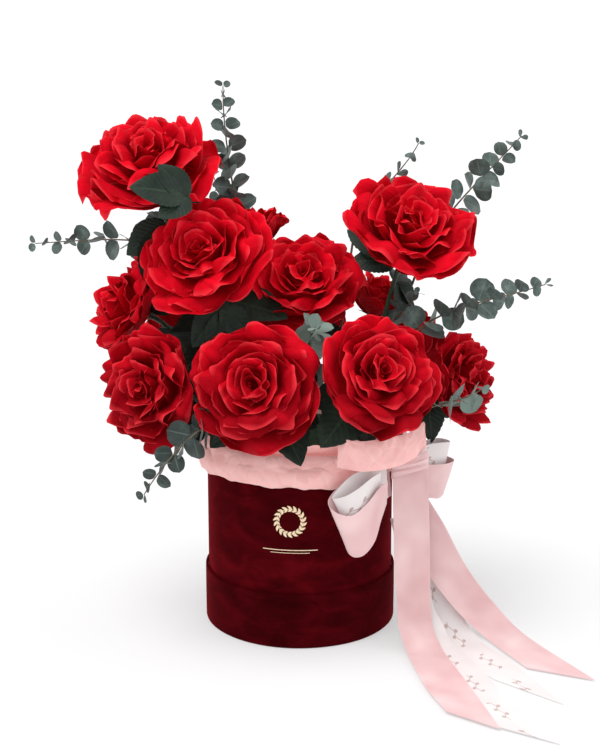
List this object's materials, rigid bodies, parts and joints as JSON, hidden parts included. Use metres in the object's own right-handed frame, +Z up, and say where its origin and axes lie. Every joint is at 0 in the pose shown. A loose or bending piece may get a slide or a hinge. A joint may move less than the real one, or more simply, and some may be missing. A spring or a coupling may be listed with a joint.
{
  "type": "flower box",
  "caption": "Round velvet hat box standing in its lid, filled with long-stemmed red roses and eucalyptus in floral foam, with a tissue collar and a ribbon bow.",
  "frame": {"origin": "centre of the lid's underside, where the flower box stands on the floor", "axes": "+Z up; -Y towards the front, where the foil wreath and the two lowest roses are; +X to the viewer's right, where the bow is"},
  "size_m": [0.568, 0.5021, 0.5604],
  "materials": {
    "burgundy_velvet": "velvet nap",
    "grey_board": "matt",
    "gold_foil": "satin foil",
    "clear_film": "clear",
    "green_foam": "matt, fine-grained",
    "pink_tissue": "crumpled, matt",
    "pink_satin": "satin",
    "white_satin": "satin",
    "pick_wood": "raw",
    "red_petal": "soft, velvety",
    "rose_green": "satin leaf",
    "eucalyptus": "matt, waxy bloom"
  },
  "bodies": {
    "lid": {"lid_velvet": "burgundy_velvet", "lid_band": "grey_board", "lid_panel": "grey_board"},
    "box": {"box_velvet": "burgundy_velvet", "box_tube": "grey_board", "box_floor": "grey_board", "foil_wreath": "gold_foil", "foil_line": "gold_foil", "foam_liner": "clear_film", "foam_block": "green_foam", "tissue_collar": "pink_tissue", "tissue_fold": "pink_tissue", "ribbon_knot": "pink_satin", "bow_pick": "pick_wood", "pink_loop_left": "pink_satin", "white_loop_left": "white_satin", "pink_loop_right": "pink_satin", "white_loop_right": "white_satin", "pink_tail_front": "pink_satin", "white_tail_front": "white_satin", "pink_tail_back": "pink_satin", "white_tail_back": "white_satin"},
    "rose_back_left": {"rose_back_left_bloom": "red_petal", "rose_back_left_stem": "rose_green"},
    "rose_back": {"rose_back_bloom": "red_petal", "rose_back_stem": "rose_green"},
    "rose_back_right": {"rose_back_right_bloom": "red_petal", "rose_back_right_stem": "rose_green"},
    "rose_centre": {"rose_centre_bloom": "red_petal", "rose_centre_stem": "rose_green"},
    "rose_crown": {"rose_crown_bloom": "red_petal", "rose_crown_stem": "rose_green"},
    "rose_far_left": {"rose_far_left_bloom": "red_petal", "rose_far_left_stem": "rose_green"},
    "rose_front_left": {"rose_front_left_bloom": "red_petal", "rose_front_left_stem": "rose_green"},
    "rose_front_right": {"rose_front_right_bloom": "red_petal", "rose_front_right_stem": "rose_green"},
    "rose_low_left": {"rose_low_left_bloom": "red_petal", "rose_low_left_stem": "rose_green"},
    "rose_low_right": {"rose_low_right_bloom": "red_petal", "rose_low_right_stem": "rose_green"},
    "rose_mid_right": {"rose_mid_right_bloom": "red_petal", "rose_mid_right_stem": "rose_green"},
    "rose_top_left": {"rose_top_left_bloom": "red_petal", "rose_top_left_stem": "rose_green"},
    "rose_top_right": {"rose_top_right_bloom": "red_petal", "rose_top_right_stem": "rose_green"},
    "rose_upper_left": {"rose_upper_left_bloom": "red_petal", "rose_upper_left_stem": "rose_green"},
    "sprig_back_left": {"sprig_back_left": "eucalyptus"},
    "sprig_front": {"sprig_front": "eucalyptus"},
    "sprig_left": {"sprig_left": "eucalyptus"},
    "sprig_low_left": {"sprig_low_left": "eucalyptus"},
    "sprig_low_right": {"sprig_low_right": "eucalyptus"},
    "sprig_mid": {"sprig_mid": "eucalyptus"},
    "sprig_right": {"sprig_right": "eucalyptus"},
    "sprig_tall": {"sprig_tall": "eucalyptus"},
    "sprig_top_mid": {"sprig_top_mid": "eucalyptus"},
    "sprig_top_right": {"sprig_top_right": "eucalyptus"}
  },
  "joints": [
    {"name": "box_lift", "type": "slide", "parent": "lid", "child": "box", "axis": [0, 0, 1], "range_m": [0, 0.062]},
    {"name": "rose_back_left_pull", "type": "slide", "parent": "box", "child": "rose_back_left", "axis": [-0.3896, 0.2697, 0.8806], "range_m": [0, 0.072]},
    {"name": "rose_back_pull", "type": "slide", "parent": "box", "child": "rose_back", "axis": [0, 0.3366, 0.9417], "range_m": [0, 0.06]},
    {"name": "rose_back_right_pull", "type": "slide", "parent": "box", "child": "rose_back_right", "axis": [0.4732, 0.4, 0.7849], "range_m": [0, 0.065]},
    {"name": "rose_centre_pull", "type": "slide", "parent": "box", "child": "rose_centre", "axis": [0.0038, 0.0356, 0.9994], "range_m": [0, 0.044]},
    {"name": "rose_crown_pull", "type": "slide", "parent": "box", "child": "rose_crown", "axis": [-0.1281, 0.1355, 0.9825], "range_m": [0, 0.036]},
    {"name": "rose_far_left_pull", "type": "slide", "parent": "box", "child": "rose_far_left", "axis": [-0.4733, 0.0636, 0.8786], "range_m": [0, 0.02]},
    {"name": "rose_front_left_pull", "type": "slide", "parent": "box", "child": "rose_front_left", "axis": [-0.1305, -0.245, 0.9607], "range_m": [0, 0.028]},
    {"name": "rose_front_right_pull", "type": "slide", "parent": "box", "child": "rose_front_right", "axis": [0.2385, -0.2867, 0.9279], "range_m": [0, 0.07]},
    {"name": "rose_low_left_pull", "type": "slide", "parent": "box", "child": "rose_low_left", "axis": [-0.5434, -0.169, 0.8223], "range_m": [0, 0.06]},
    {"name": "rose_low_right_pull", "type": "slide", "parent": "box", "child": "rose_low_right", "axis": [0.6483, -0.0045, 0.7614], "range_m": [0, 0.04]},
    {"name": "rose_mid_right_pull", "type": "slide", "parent": "box", "child": "rose_mid_right", "axis": [0.2344, 0.1889, 0.9536], "range_m": [0, 0.095]},
    {"name": "rose_top_left_pull", "type": "slide", "parent": "box", "child": "rose_top_left", "axis": [-0.298, -0.0134, 0.9545], "range_m": [0, 0.115]},
    {"name": "rose_top_right_pull", "type": "slide", "parent": "box", "child": "rose_top_right", "axis": [0.2518, -0.0016, 0.9678], "range_m": [0, 0.115]},
    {"name": "rose_upper_left_pull", "type": "slide", "parent": "box", "child": "rose_upper_left", "axis": [-0.1904, -0.0809, 0.9784], "range_m": [0, 0.008]},
    {"name": "sprig_back_left_pull", "type": "slide", "parent": "box", "child": "sprig_back_left", "axis": [-0.2052, 0.3047, 0.9301], "range_m": [0, 0.08]},
    {"name": "sprig_front_pull", "type": "slide", "parent": "box", "child": "sprig_front", "axis": [0.0138, -0.2209, 0.9752], "range_m": [0, 0.075]},
    {"name": "sprig_left_pull", "type": "slide", "parent": "box", "child": "sprig_left", "axis": [-0.3206, 0.148, 0.9356], "range_m": [0, 0.08]},
    {"name": "sprig_low_left_pull", "type": "slide", "parent": "box", "child": "sprig_low_left", "axis": [-0.4497, -0.5852, 0.6748], "range_m": [0, 0.02]},
    {"name": "sprig_low_right_pull", "type": "slide", "parent": "box", "child": "sprig_low_right", "axis": [0.6649, -0.3832, 0.6411], "range_m": [0, 0.05]},
    {"name": "sprig_mid_pull", "type": "slide", "parent": "box", "child": "sprig_mid", "axis": [0.2374, -0.0226, 0.9711], "range_m": [0, 0.024]},
    {"name": "sprig_right_pull", "type": "slide", "parent": "box", "child": "sprig_right", "axis": [0.3489, -0.1117, 0.9305], "range_m": [0, 0.028]},
    {"name": "sprig_tall_pull", "type": "slide", "parent": "box", "child": "sprig_tall", "axis": [-0.131, 0.0415, 0.9905], "range_m": [0, 0.1]},
    {"name": "sprig_top_mid_pull", "type": "slide", "parent": "box", "child": "sprig_top_mid", "axis": [0.1273, 0.0778, 0.9888], "range_m": [0, 0.1]},
    {"name": "sprig_top_right_pull", "type": "slide", "parent": "box", "child": "sprig_top_right", "axis": [0.328, 0.0538, 0.9431], "range_m": [0, 0.095]}
  ]
}
